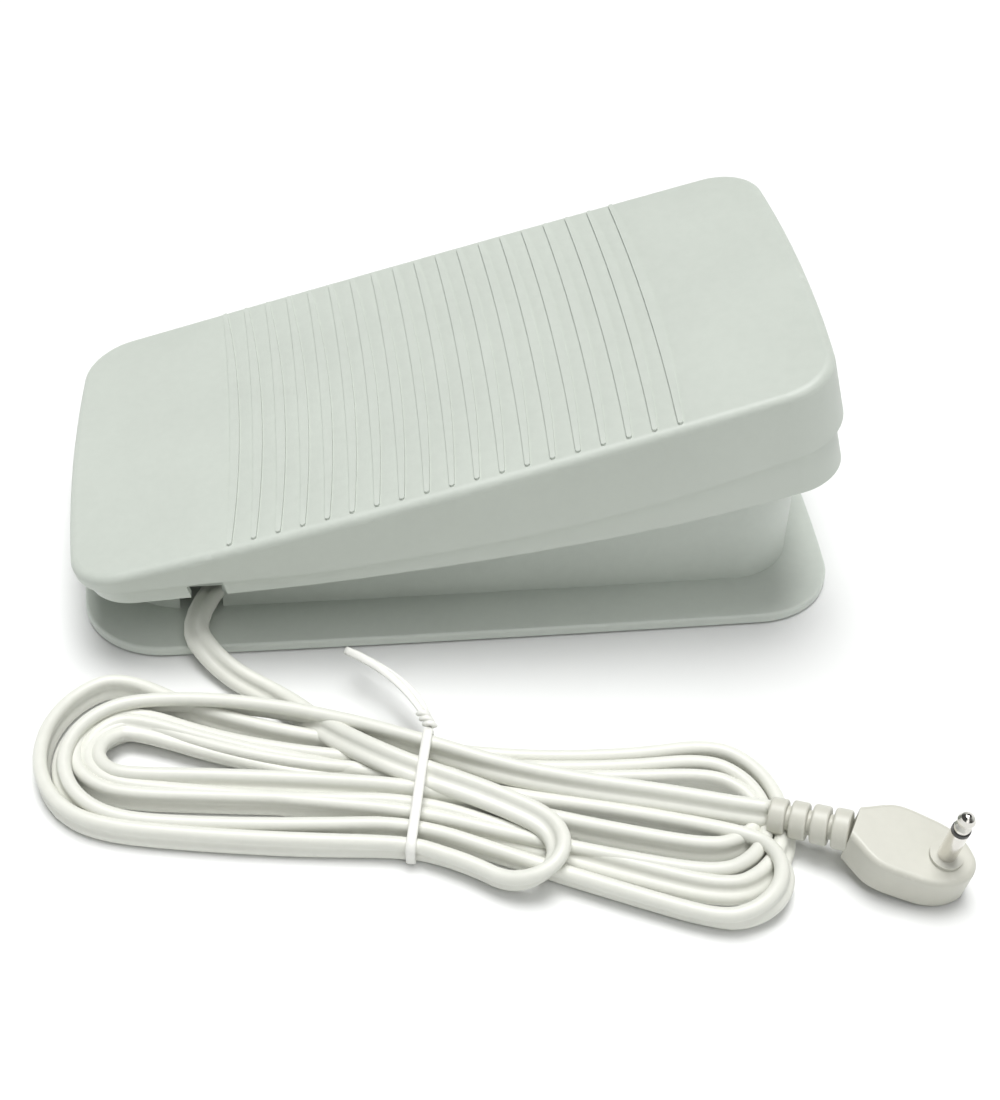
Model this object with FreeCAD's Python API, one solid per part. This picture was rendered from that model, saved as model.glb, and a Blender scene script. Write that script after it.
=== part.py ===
"""Foot control for a sewing machine: a ribbed treadle hinged on a low base, with its tied cord and plug.

Millimetres. +X from the hinge end to the raised toe end, -Y the side where the cord leaves, floor at z = 0.
"""
import math
import os

import FreeCAD
import Part
from FreeCAD import Placement, Rotation, Vector

# Treadle, measured in its own plane: s along its length, n square to its top
TREAD_LENGTH = 159.0          # between the ends of the bowed end edges
TREAD_WIDTH = 86.4            # between the ends of the bowed long edges
TREAD_END_BOW = 2.3
TREAD_SIDE_BOW = 1.5
TREAD_CORNER = 12.0
TREAD_TILT = 15.4             # degrees, at rest
TREAD_X = -3.9                # middle of the tread
TREAD_Z = 41.5
TREAD_DISH = 0.6              # how far the ends rise above the middle
RIM_RADIUS = 1.8
COVER_WALL = 1.7
COVER_TOP = 2.4

# Ribs on the tread
RIB_COUNT = 19
RIB_PITCH = 5.17
RIB_END_GAP = 2.2             # from a rib's end to the long edge
RIB_WIDTH = 2.1
RIB_TIP_WIDTH = 1.0
RIB_BOW = 1.7
RIB_HEIGHT = 0.45
RIB_SHIFT = 1.1               # the ribbed field lies this far towards the toe end

# Lower shell of the treadle
BAND_WALL = 2.0
DECK = 2.0
POST_RADIUS = 2.5
SOCKET_RADIUS = 4.0
POST_LENGTH = 6.4
SOCKET_FLOOR = 1.6
SOCKET_INSET = 8.4            # from the long edge to the screw line
SOCKET_S = (-40.0, 10.0, 62.0)
SCREW_RADIUS = 1.25
SCREW_HEAD_RADIUS = 2.7
SCREW_HEAD = 1.7

# Base
FOOT_PROUD = 0.6
PLATE = 2.0
BASE_X = 0.9
FLANGE_LENGTH = 159.8
FLANGE_END_BOW = 2.1
FLANGE_SIDE_BOW = 0.6
FLANGE_SIDE_INSET = 0.8       # flange inside the tread's long edge
FLANGE_CORNER = 18.0
PLINTH_SIDE_INSET = 13.2      # plinth inside the tread's long edge
PLINTH_END_INSET = 7.8        # plinth inside the flange's ends
PLINTH_CORNER = 14.0
PLINTH_WALL = 2.2
PLINTH_LOW_TOP = 15.0
PLINTH_HIGH_TOP = 37.0
FOOT_RADIUS = 7.0
FOOT_RECESS = 1.0
FOOT_X = 60.0
FOOT_Y = 27.0

# Hinge
HINGE_X = -62.0
HINGE_Z = 12.6
TRAVEL = 7.5                  # degrees
PIN_RADIUS = 2.0
PIN_CLEAR = 0.05
BUSH_WALL = 1.2
EAR_RADIUS = 4.8
EAR_Y = 17.0
EAR_THICK = 4.0
PILLAR_GAP = 0.6
PILLAR_THICK = 4.0

# Toothed sector, pinion and potentiometer
TOOTH_MODULE = 1.25
SECTOR_TEETH = 80             # of a full circle
PINION_TEETH = 10
PINION_Z = 18.0
MESH_PLAY = 0.45
GEAR_Y = -6.0
SECTOR_THICK = 4.0
SECTOR_FOOT_S = -26.0
PINION_OVER = 0.8             # pinion wider than the sector on each side
SHAFT_RADIUS = 3.0
POT_RADIUS = 8.2
POT_DEPTH = 8.0
NECK_RADIUS = 3.5
NECK_LENGTH = 4.4
BRACKET_THICK = 1.2
SHAFT_CLEAR = 0.06

# Return spring and stops
SPRING_X = 26.0
SPRING_RADIUS = 5.6           # to the middle of the wire
SPRING_WIRE = 0.7             # wire radius
SPRING_BASE = 8.0
SPRING_TOP = 38.0
SPRING_TURNS = 7
STOP_X = 58.0
STOP_Y = 17.0
STOP_RADIUS = 4.0
STOP_HEIGHT = 4.0
STOP_GAP = 0.4

# Circuit board
BOARD_X = -29.0
BOARD_Y = 15.0
BOARD_LENGTH = 26.0
BOARD_WIDTH = 22.0
BOARD_THICK = 1.6
BOARD_Z = 6.0

# Cord, hank, tie and plug
CORD_RADIUS = 2.0
CORD_POINTS = ((-41.0, -10.0, 5.0), (-59.5, -36.0, 6.8), (-51.5, -51.0, 3.6), (-38.0, -61.0, 2.1))
HANK_LOW = 0.9
HANK_HIGH = 9.0
TIE_THICK = 0.9
TIE_WIDTH = 1.7
RELIEF_TAIL = (51.9, -102.2, 6.3)
RELIEF_RADIUS = 3.9
RELIEF_COLLARS = 4
RELIEF_SLOT = 0.8
PLUG_TAIL = (65.4, -108.9, 7.9)
PLUG_HEADING = -28.0
PLUG_HEIGHT = 8.0
PLUG_PITCH = 8.0              # nose down
PLUG_ROLL = 9.0               # jack leaning to the near side
JACK_X = 17.0
BOSS_RADIUS = 3.1
BOSS_HEIGHT = 0.7
JACK_RADIUS = 1.75
SLEEVE_LENGTH = 8.4
RING_LENGTH = 0.8

FLOOR_TOP = FOOT_PROUD + PLATE
HINGE = Vector(HINGE_X, 0, HINGE_Z)
TREAD_FRAME = Placement(Vector(TREAD_X, 0, TREAD_Z), Rotation(Vector(0, 1, 0), -TREAD_TILT))
DECK_TOP = -COVER_TOP
DECK_LOW = DECK_TOP - DECK
PITCH_SECTOR = TOOTH_MODULE * SECTOR_TEETH / 2
PITCH_PINION = TOOTH_MODULE * PINION_TEETH / 2
CENTRES = PITCH_SECTOR + PITCH_PINION
MESH_ANGLE = math.degrees(math.asin((PINION_Z - HINGE_Z) / CENTRES))
PINION_X = HINGE_X + CENTRES * math.cos(math.radians(MESH_ANGLE))
HALF_WIDTH = TREAD_WIDTH / 2
POST_Y = HALF_WIDTH + TREAD_SIDE_BOW - SOCKET_INSET


def polygon_face(points):
    return Part.Face(Part.makePolygon(list(points) + [points[0]]))


def cylinder(radius, length, start, axis):
    return Part.makeCylinder(radius, length, Vector(*start), Vector(*axis))


def box(low, high):
    size = [b - a for a, b in zip(low, high)]
    return Part.makeBox(size[0], size[1], size[2], Vector(*low))


def bowed_block(length, width, corner, end_bow, side_bow, low, high):
    """An upright block whose plan is a rectangle with bowed edges and rounded corners."""
    a = length / 2
    b = width / 2
    edges = [
        Part.Arc(Vector(-a, -b, low), Vector(0, -b - side_bow, low), Vector(a, -b, low)).toShape(),
        Part.Arc(Vector(a, -b, low), Vector(a + end_bow, 0, low), Vector(a, b, low)).toShape(),
        Part.Arc(Vector(a, b, low), Vector(0, b + side_bow, low), Vector(-a, b, low)).toShape(),
        Part.Arc(Vector(-a, b, low), Vector(-a - end_bow, 0, low), Vector(-a, -b, low)).toShape(),
    ]
    block = Part.Face(Part.Wire(edges)).extrude(Vector(0, 0, high - low))
    upright = [e for e in block.Edges if abs(e.Vertexes[0].X - e.Vertexes[-1].X) < 1e-6
               and abs(e.Vertexes[0].Z - e.Vertexes[-1].Z) > 1]
    return block.makeFillet(corner, upright)


def tread_block(inset, low, high):
    return bowed_block(TREAD_LENGTH - 2 * inset, TREAD_WIDTH - 2 * inset, TREAD_CORNER - inset,
                       TREAD_END_BOW, TREAD_SIDE_BOW, low, high)


def dish_edge(drop):
    """The tread's lengthwise curve, lowered by drop, run past both ends."""
    reach = 0.6 * TREAD_LENGTH
    rise = TREAD_DISH * 1.44
    ends = [Vector(side * reach, 0, rise - drop) for side in (-1, 1)]
    return Part.Arc(ends[0], Vector(0, 0, -drop), ends[1]).toShape()


def side_slice(upper, lower):
    """A block across the full width between two lengthwise curves."""
    a = upper.Vertexes[0].Point
    b = upper.Vertexes[-1].Point
    c = lower.Vertexes[-1].Point
    d = lower.Vertexes[0].Point
    wire = Part.Wire([upper, Part.makeLine(b, c), lower, Part.makeLine(d, a)])
    slab = Part.Face(wire).extrude(Vector(0, 2 * TREAD_WIDTH, 0))
    slab.translate(Vector(0, -TREAD_WIDTH, 0))
    return slab


def length_curve(points):
    """A smooth lengthwise curve through (fraction of half length, n) points."""
    half = TREAD_LENGTH / 2
    curve = Part.BSplineCurve()
    curve.interpolate([Vector(f * half, 0, n) for f, n in points])
    return curve.toShape()


def skirt_curve():
    return length_curve([(-1.2, -1.6), (-0.94, -3.2), (-0.7, -6.0), (-0.44, -10.2), (-0.18, -13.0),
                         (0.3, -16.3), (0.65, -16.0), (0.88, -14.9), (1.2, -13.2)])


def band_curve():
    return length_curve([(-1.2, -4.2), (-0.83, -9.0), (-0.45, -14.6), (-0.2, -17.8), (0.3, -23.0),
                         (0.64, -25.2), (0.83, -25.6), (1.2, -25.6)])


def rib_prism(s):
    """One rib's plan, a long sliver with one straighter edge, run through the tread's surface."""
    reach = HALF_WIDTH + TREAD_SIDE_BOW * 0.7 - RIB_END_GAP
    mid = RIB_BOW
    tip = RIB_TIP_WIDTH / 2
    low = -2.0
    half = RIB_WIDTH / 2
    ring = [(s - tip, -reach), (s + mid - half, 0), (s - tip, reach), (s, reach + tip), (s + tip, reach),
            (s + mid + half, 0), (s + tip, -reach), (s, -reach - tip), (s - tip, -reach)]
    points = [Vector(x, y, low) for x, y in ring]
    edges = [Part.Arc(*points[k:k + 3]).toShape() for k in (0, 2, 4, 6)]
    return Part.Face(Part.Wire(edges)).extrude(Vector(0, 0, 4.0))


def post_places():
    return [(s, side * POST_Y) for s in SOCKET_S for side in (-1, 1)]


def top_cover():
    block = tread_block(0, -30, 10).common(side_slice(dish_edge(0), skirt_curve()))
    rim = [e for e in block.Edges if e.BoundBox.ZMin > -0.2]
    block = block.makeFillet(RIM_RADIUS, rim)
    hollow = tread_block(COVER_WALL, -31, 10).common(side_slice(dish_edge(COVER_TOP), dish_edge(40)))
    shell = block.cut(hollow)
    ribs = [rib_prism(RIB_SHIFT + RIB_PITCH * (i - (RIB_COUNT - 1) / 2)) for i in range(RIB_COUNT)]
    slab = side_slice(dish_edge(-RIB_HEIGHT), dish_edge(0.6))
    pads = Part.makeCompound(ribs).common(slab)
    shell = shell.fuse(pads.Solids)
    for s, y in post_places():
        post = cylinder(POST_RADIUS, POST_LENGTH + 1.2, (s, y, -COVER_TOP + 1.2), (0, 0, -1))
        bore = cylinder(SCREW_RADIUS, POST_LENGTH - 1, (s, y, -COVER_TOP - POST_LENGTH - 0.01), (0, 0, 1))
        shell = shell.fuse(post).cut(bore)
    return shell.removeSplitter()


def lower_shell():
    outer = tread_block(COVER_WALL, -40, 10).common(side_slice(dish_edge(COVER_TOP), band_curve()))
    inner = tread_block(COVER_WALL + BAND_WALL, -41, 10)
    shell = outer.cut(inner.common(side_slice(dish_edge(COVER_TOP + DECK), dish_edge(60))))
    socket_low = -COVER_TOP - POST_LENGTH
    for s, y in post_places():
        depth = POST_LENGTH + SOCKET_FLOOR - 1
        shell = shell.fuse(cylinder(SOCKET_RADIUS, depth, (s, y, -COVER_TOP - 1), (0, 0, -1)))
    for s, y in post_places():
        shell = shell.cut(cylinder(POST_RADIUS, POST_LENGTH + 4, (s, y, socket_low), (0, 0, 1)))
        shell = shell.cut(cylinder(SCREW_RADIUS, 4, (s, y, socket_low - 3), (0, 0, 1)))
    notch_s = TREAD_LENGTH * -0.338
    notch = box((notch_s - 3.7, -TREAD_WIDTH, -30), (notch_s + 3.7, -HALF_WIDTH + 5, -9.0))
    arch = cylinder(4.0, TREAD_WIDTH - HALF_WIDTH + 5, (notch_s, -TREAD_WIDTH, -9.0), (0, 1, 0))
    arch = arch.common(box((notch_s - 3.7, -2 * TREAD_WIDTH, -12), (notch_s + 3.7, 0, -7.6)))
    shell = shell.cut(notch.fuse(arch))
    shell.Placement = TREAD_FRAME
    below = side_slice(dish_edge(COVER_TOP + 0.5), dish_edge(60))
    below.Placement = TREAD_FRAME
    for side in (-1, 1):
        shell = shell.fuse(ear(side).common(below))
    shell = shell.cut(bush_bores())
    return shell.fuse(sector_pad()).removeSplitter()


def ear(side):
    """A hinge ear hanging from the deck to the pin, on one side."""
    near = EAR_Y if side > 0 else -EAR_Y - EAR_THICK
    disc = cylinder(EAR_RADIUS, EAR_THICK, (HINGE_X, near, HINGE_Z), (0, 1, 0))
    web = box((HINGE_X - EAR_RADIUS, near, HINGE_Z), (HINGE_X + EAR_RADIUS, near + EAR_THICK, HINGE_Z + 20))
    return disc.fuse(web)


def bush_bores():
    radius = PIN_RADIUS + PIN_CLEAR + BUSH_WALL
    reach = EAR_Y + EAR_THICK + 1
    return cylinder(radius, 2 * reach, (HINGE_X, -reach, HINGE_Z), (0, 1, 0))


def hinge_bushes():
    bushes = []
    for near in (EAR_Y, -EAR_Y - EAR_THICK):
        outer = cylinder(PIN_RADIUS + PIN_CLEAR + BUSH_WALL, EAR_THICK, (HINGE_X, near, HINGE_Z), (0, 1, 0))
        inner = cylinder(PIN_RADIUS + PIN_CLEAR, EAR_THICK + 2, (HINGE_X, near - 1, HINGE_Z), (0, 1, 0))
        bushes.append(outer.cut(inner))
    return Part.makeCompound(bushes)


def cover_screws():
    screws = []
    low = -COVER_TOP - POST_LENGTH - SOCKET_FLOOR
    for s, y in post_places():
        screws.append(screw(SCREW_RADIUS, SOCKET_FLOOR + POST_LENGTH - 1.5, SCREW_HEAD_RADIUS, SCREW_HEAD,
                            (s, y, low), (0, 0, 1)))
    group = Part.makeCompound(screws)
    group.Placement = TREAD_FRAME
    return group


def screw(radius, length, head_radius, head, seat, axis):
    """A pan head screw seated at a point with its shank along axis and a cross recess in its head."""
    shank = cylinder(radius, length, (0, 0, 0), (0, 0, 1))
    cap = cylinder(head_radius, head, (0, 0, -head), (0, 0, 1))
    cap = cap.makeFillet(head * 0.35, [e for e in cap.Edges if e.BoundBox.ZMax < -head + 0.01])
    slot = 0.4
    reach = head_radius * 0.6
    cross = box((-reach, -slot / 2, -head - 1), (reach, slot / 2, -head / 2))
    cross = cross.fuse(box((-slot / 2, -reach, -head - 1), (slot / 2, reach, -head / 2)))
    solid = shank.fuse(cap.cut(cross))
    solid.Placement = Placement(Vector(*seat), Rotation(Vector(0, 0, 1), Vector(*axis)))
    return solid


def sector_outline():
    """Root, tip and arm outline of the toothed sector in the XZ plane, teeth facing the pinion."""
    points = []
    tooth = 360.0 / SECTOR_TEETH
    first, last = -1, 2
    for k in range(first, last + 1):
        middle = MESH_ANGLE + k * tooth
        for radius, half in tooth_sides(PITCH_SECTOR):
            points.append((radius, middle - half))
        for radius, half in reversed(tooth_sides(PITCH_SECTOR)):
            points.append((radius, middle + half))
    rim = PITCH_SECTOR - 9.0
    return [polar(HINGE_X, HINGE_Z, r, a) for r, a in points], rim


def tooth_sides(pitch_radius):
    """Radius and half angle in degrees at a tooth's root, pitch line and tip."""
    half = (math.pi * TOOTH_MODULE / 2 - MESH_PLAY) / 2
    tip = TOOTH_MODULE * 0.8
    root = TOOTH_MODULE * 1.15
    lean = math.tan(math.radians(20))
    rows = []
    for rise in (-root, 0.0, tip):
        wide = half - lean * rise
        rows.append((pitch_radius + rise, math.degrees(wide / (pitch_radius + rise))))
    return rows


def polar(x, z, radius, angle):
    a = math.radians(angle)
    return Vector(x + radius * math.cos(a), 0, z + radius * math.sin(a))


def sector_pad():
    """The thicker part of the deck that the sector is screwed to."""
    pad = box((-34.0, GEAR_Y - 8.0, DECK_LOW - 2.0), (-18.0, GEAR_Y + SECTOR_THICK + 8.0, DECK_LOW + 1.0))
    pad = pad.common(side_slice(dish_edge(COVER_TOP + 0.5), dish_edge(60)))
    for y in sector_screw_places():
        pad = pad.cut(cylinder(SCREW_RADIUS, 4, (SECTOR_FOOT_S, y, DECK_LOW - 2.5), (0, 0, 1)))
    pad.Placement = TREAD_FRAME
    return pad


def sector_arm():
    teeth, rim = sector_outline()
    foot_low = DECK_LOW - 4.4
    top_a = TREAD_FRAME.multVec(Vector(-32.0, 0, foot_low + 0.5))
    top_b = TREAD_FRAME.multVec(Vector(-19.0, 0, foot_low + 0.5))
    lowest = teeth[0]
    inner_low = polar(HINGE_X, HINGE_Z, rim, MESH_ANGLE - 6.0)
    outline = list(teeth) + [top_b, top_a, inner_low, lowest + Vector(-2.0, 0, -0.8)]
    plate = polygon_face(outline).extrude(Vector(0, SECTOR_THICK, 0))
    plate.translate(Vector(0, GEAR_Y, 0))
    foot = box((-34.0, GEAR_Y - 7.0, foot_low), (-18.0, GEAR_Y + SECTOR_THICK + 7.0, DECK_LOW - 2.0))
    for y in sector_screw_places():
        foot = foot.cut(cylinder(SCREW_RADIUS, 4, (SECTOR_FOOT_S, y, foot_low - 0.5), (0, 0, 1)))
    foot.Placement = TREAD_FRAME
    return plate.fuse(foot).removeSplitter()


def sector_screw_places():
    middle = GEAR_Y + SECTOR_THICK / 2
    return [middle - 5.8, middle + 5.8]


def sector_screws():
    seat = DECK_LOW - 4.4
    group = Part.makeCompound([screw(SCREW_RADIUS, 4.0, 2.3, 1.5, (SECTOR_FOOT_S, y, seat), (0, 0, 1))
                               for y in sector_screw_places()])
    group.Placement = TREAD_FRAME
    return group


def pinion():
    points = []
    tooth = 360.0 / PINION_TEETH
    facing = MESH_ANGLE + 180.0
    for k in range(PINION_TEETH):
        middle = facing + (k + 0.5) * tooth
        for radius, half in tooth_sides(PITCH_PINION):
            points.append(polar(PINION_X, PINION_Z, radius, middle - half))
        for radius, half in reversed(tooth_sides(PITCH_PINION)):
            points.append(polar(PINION_X, PINION_Z, radius, middle + half))
    wide = SECTOR_THICK + 2 * PINION_OVER
    wheel = polygon_face(points).extrude(Vector(0, wide, 0))
    start = GEAR_Y - PINION_OVER
    wheel.translate(Vector(0, start, 0))
    return wheel.cut(cylinder(SHAFT_RADIUS, wide + 2, (PINION_X, start - 1, PINION_Z), (0, 1, 0)))


def bracket_y():
    return GEAR_Y + SECTOR_THICK + PINION_OVER + NECK_LENGTH + 0.6


def pot_shaft():
    start = GEAR_Y - PINION_OVER
    end = bracket_y() + BRACKET_THICK + POT_DEPTH - 2.6
    shaft = cylinder(SHAFT_RADIUS, end - start, (PINION_X, start, PINION_Z), (0, 1, 0))
    return shaft.makeChamfer(0.5, [e for e in shaft.Edges if e.BoundBox.YMax < start + 0.01])


def pot_body():
    back = bracket_y() + BRACKET_THICK
    can = cylinder(POT_RADIUS, POT_DEPTH, (PINION_X, back, PINION_Z), (0, 1, 0))
    front = back - NECK_LENGTH - BRACKET_THICK
    neck = cylinder(NECK_RADIUS, back - front, (PINION_X, front, PINION_Z), (0, 1, 0))
    tab_low = PINION_Z - POT_RADIUS - 3.4
    tabs = box((PINION_X - 6.5, back + 1.0, tab_low), (PINION_X + 6.5, back + 2.4, PINION_Z - 4))
    bore = cylinder(SHAFT_RADIUS + SHAFT_CLEAR, back - front + POT_DEPTH - 1.5, (PINION_X, front - 0.5, PINION_Z),
                    (0, 1, 0))
    return can.fuse(neck).fuse(tabs).cut(bore).removeSplitter()


def pot_nut():
    y = bracket_y()
    points = [polar(PINION_X, PINION_Z, 5.6, 60 * k) for k in range(6)]
    nut = polygon_face(points).extrude(Vector(0, -2.2, 0))
    nut.translate(Vector(0, y, 0))
    return nut.cut(cylinder(NECK_RADIUS, 6, (PINION_X, y - 4, PINION_Z), (0, 1, 0)))


def pot_bracket():
    y = bracket_y()
    upright = box((PINION_X - 9, y, FLOOR_TOP), (PINION_X + 9, y + BRACKET_THICK, PINION_Z + 7.4))
    upright = upright.makeFillet(4.0, [e for e in upright.Edges if e.BoundBox.ZMin > PINION_Z
                                       and abs(e.BoundBox.XMax - e.BoundBox.XMin) < 1e-3])
    hole = cylinder(NECK_RADIUS, 4, (PINION_X, y - 1, PINION_Z), (0, 1, 0))
    foot = box((PINION_X - 9, y, FLOOR_TOP), (PINION_X + 9, y + 12, FLOOR_TOP + BRACKET_THICK))
    for dx in (-6, 6):
        foot = foot.cut(cylinder(SCREW_RADIUS, 4, (PINION_X + dx, y + 8, FLOOR_TOP - 1), (0, 0, 1)))
    return upright.cut(hole).fuse(foot).removeSplitter()


def bracket_screws():
    seat = FLOOR_TOP + BRACKET_THICK
    return Part.makeCompound([
        screw(SCREW_RADIUS, BRACKET_THICK + 1.2, 2.2, 1.3,
              (PINION_X + dx, bracket_y() + 8, seat), (0, 0, -1))
        for dx in (-6, 6)])


def flange_width():
    return TREAD_WIDTH - 2 * FLANGE_SIDE_INSET


def plinth_block(inset, low, high):
    length = FLANGE_LENGTH + 2 * FLANGE_END_BOW - 2 * PLINTH_END_INSET - 2 * inset
    width = TREAD_WIDTH - 2 * PLINTH_SIDE_INSET - 2 * inset
    block = bowed_block(length - 2 * 0.8, width, PLINTH_CORNER - inset, 0.8, 0.4, low, high)
    block.translate(Vector(BASE_X, 0, 0))
    return block


def wedge_slice():
    """Everything under the plinth's sloping rim."""
    reach = FLANGE_LENGTH / 2 - PLINTH_END_INSET + FLANGE_END_BOW
    slope = (PLINTH_HIGH_TOP - PLINTH_LOW_TOP) / (2 * reach)
    far = reach + 20
    points = [Vector(-far, 0, -1), Vector(far, 0, -1), Vector(far, 0, PLINTH_HIGH_TOP + slope * 20),
              Vector(-far, 0, PLINTH_LOW_TOP - slope * 20)]
    slab = polygon_face(points).extrude(Vector(0, 2 * TREAD_WIDTH, 0))
    slab.translate(Vector(BASE_X, -TREAD_WIDTH, 0))
    return slab


def foot_places():
    return [(BASE_X + a * FOOT_X, b * FOOT_Y) for a in (-1, 1) for b in (-1, 1)]


def stop_top():
    """Height of the stops' tops, just under the deck at full travel."""
    frame = Placement(HINGE, Rotation(Vector(0, 1, 0), TRAVEL)).multiply(Placement(HINGE * -1, Rotation()))
    frame = frame.multiply(TREAD_FRAME)
    low = frame.multVec(Vector(0, 0, DECK_LOW))
    slope = math.tan(math.radians(TREAD_TILT - TRAVEL))
    return low.z + slope * (STOP_X - STOP_RADIUS - low.x) - STOP_GAP


def board_places():
    return [(BOARD_X + a * (BOARD_LENGTH / 2 - 3), BOARD_Y + b * (BOARD_WIDTH / 2 - 3))
            for a in (-1, 1) for b in (-1, 1)]


def clamp_middle():
    """Where the cord's first run crosses the clamp."""
    a, b = Vector(*CORD_POINTS[0]), Vector(*CORD_POINTS[1])
    return a + (b - a) * (5.0 / (a.y - b.y))


def clamp_places():
    middle = clamp_middle()
    return [(middle.x + dx, middle.y) for dx in (-7.0, 7.0)]


def base_shell():
    flange = bowed_block(FLANGE_LENGTH, flange_width(), FLANGE_CORNER, FLANGE_END_BOW, FLANGE_SIDE_BOW,
                         FOOT_PROUD, FLOOR_TOP)
    flange.translate(Vector(BASE_X, 0, 0))
    flange = flange.makeFillet(0.6, [e for e in flange.Edges if e.BoundBox.ZMin > FLOOR_TOP - 0.01])
    walls = plinth_block(0, FOOT_PROUD + 0.2, 80).common(wedge_slice())
    walls = walls.cut(plinth_block(PLINTH_WALL, FLOOR_TOP, 90))
    shell = flange.fuse(walls)
    for x, y in foot_places():
        shell = shell.cut(cylinder(FOOT_RADIUS, FOOT_RECESS, (x, y, FOOT_PROUD), (0, 0, 1)))
    for near in (EAR_Y - PILLAR_GAP - PILLAR_THICK, -EAR_Y + PILLAR_GAP):
        pillar = box((HINGE_X - 4.5, near, FLOOR_TOP - 0.5), (HINGE_X + 4.5, near + PILLAR_THICK, HINGE_Z))
        pillar = pillar.fuse(cylinder(4.5, PILLAR_THICK, (HINGE_X, near, HINGE_Z), (0, 1, 0)))
        shell = shell.fuse(pillar)
    shell = shell.cut(cylinder(PIN_RADIUS, 200, (HINGE_X, -EAR_Y, HINGE_Z), (0, 1, 0)))
    for x, y in board_places():
        shell = shell.fuse(cylinder(2.8, BOARD_Z - FLOOR_TOP + 0.5, (x, y, FLOOR_TOP - 0.5), (0, 0, 1)))
        shell = shell.cut(cylinder(SCREW_RADIUS, 4, (x, y, BOARD_Z - 3.4), (0, 0, 1)))
    seat = cylinder(8.0, SPRING_BASE - FLOOR_TOP + 0.5, (SPRING_X, 0, FLOOR_TOP - 0.5), (0, 0, 1))
    spigot = cylinder(SPRING_RADIUS - SPRING_WIRE - 0.4, 5.0, (SPRING_X, 0, SPRING_BASE), (0, 0, 1))
    shell = shell.fuse(seat).fuse(spigot)
    tower_top = stop_top() - STOP_HEIGHT
    for side in (-1, 1):
        foot = (STOP_X, side * STOP_Y, FLOOR_TOP - 0.5)
        tower = cylinder(STOP_RADIUS + 1, tower_top - FLOOR_TOP + 0.5, foot, (0, 0, 1))
        shell = shell.fuse(tower).cut(cylinder(2.0, 5.0, (STOP_X, side * STOP_Y, tower_top - 4.0), (0, 0, 1)))
    clamp_low = clamp_middle().z + CORD_RADIUS + 0.1
    for x, y in clamp_places():
        shell = shell.fuse(cylinder(2.8, clamp_low - FLOOR_TOP + 0.5, (x, y, FLOOR_TOP - 0.5), (0, 0, 1)))
        shell = shell.cut(cylinder(SCREW_RADIUS, 4, (x, y, clamp_low - 3.4), (0, 0, 1)))
    for dx in (-6, 6):
        hole_place = (PINION_X + dx, bracket_y() + 8, FLOOR_TOP - 1.2)
        shell = shell.cut(cylinder(SCREW_RADIUS, 3, hole_place, (0, 0, 1)))
    a, b = Vector(*CORD_POINTS[0]), Vector(*CORD_POINTS[1])
    wall_y = -HALF_WIDTH + PLINTH_SIDE_INSET
    exit_x = a.x + (b.x - a.x) * (wall_y - a.y) / (b.y - a.y)
    slot = box((exit_x - 4.6, wall_y - 3, FLOOR_TOP), (exit_x + 4.6, wall_y + 4, FLOOR_TOP + 6.0))
    return shell.cut(slot).removeSplitter()


def rubber_feet():
    feet = []
    for x, y in foot_places():
        pad = cylinder(FOOT_RADIUS, FOOT_PROUD + FOOT_RECESS, (x, y, 0), (0, 0, 1))
        feet.append(pad.makeFillet(0.4, [e for e in pad.Edges if e.BoundBox.ZMax < 0.01]))
    return Part.makeCompound(feet)


def hinge_pin():
    reach = EAR_Y + EAR_THICK + 1.0
    pin = cylinder(PIN_RADIUS, 2 * reach, (HINGE_X, -reach, HINGE_Z), (0, 1, 0))
    return pin.makeChamfer(0.4, [e for e in pin.Edges if e.BoundBox.YMax - e.BoundBox.YMin < 1e-3])


def circuit_board():
    a, b = BOARD_LENGTH / 2, BOARD_WIDTH / 2
    board = box((BOARD_X - a, BOARD_Y - b, BOARD_Z), (BOARD_X + a, BOARD_Y + b, BOARD_Z + BOARD_THICK))
    for x, y in board_places():
        board = board.cut(cylinder(SCREW_RADIUS, 4, (x, y, BOARD_Z - 1), (0, 0, 1)))
    return board


def board_parts():
    """Terminal block, two capacitors and three resistors standing on the board."""
    top = BOARD_Z + BOARD_THICK
    parts = [box((BOARD_X - 7.2, BOARD_Y - 9.4, top), (BOARD_X + 2.8, BOARD_Y - 3.4, top + 6))]
    for dx in (-2.0, 5.0):
        parts.append(cylinder(2.5, 7.0, (BOARD_X + dx, BOARD_Y + 3.5, top), (0, 0, 1)))
    for dx in (-9.0, -6.4):
        body = cylinder(0.9, 5.0, (BOARD_X + dx, BOARD_Y - 1.6, top + 0.9), (0, 1, 0))
        parts.append(body)
    parts.append(cylinder(0.9, 5.0, (BOARD_X + 3.5, BOARD_Y - 3.4, top + 0.9), (1, 0, 0)))
    return Part.makeCompound(parts)


def board_screws():
    seat = BOARD_Z + BOARD_THICK
    return Part.makeCompound([screw(SCREW_RADIUS, BOARD_THICK + 3.0, 2.2, 1.4, (x, y, seat), (0, 0, -1))
                              for x, y in board_places()])


def inner_leads():
    """The cord's two cores, run from its cut end to the terminal block."""
    start = Vector(*CORD_POINTS[0])
    leads = []
    for side in (-1, 1):
        a = start + Vector(0.9 * side, 0.4, 0)
        b = start + Vector(4.5 + 1.6 * side, 6.5, -0.6)
        c = Vector(BOARD_X - 2.2 + 1.6 * side, BOARD_Y - 9.4, BOARD_Z + BOARD_THICK + 3)
        path = Part.Wire([Part.Arc(a, b, c).toShape()])
        heading = path.Edges[0].tangentAt(path.Edges[0].FirstParameter)
        ring = Part.Wire([Part.makeCircle(0.75, a, heading)])
        leads.append(path.makePipeShell([ring], True, True))
    return Part.makeCompound(leads)


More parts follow.
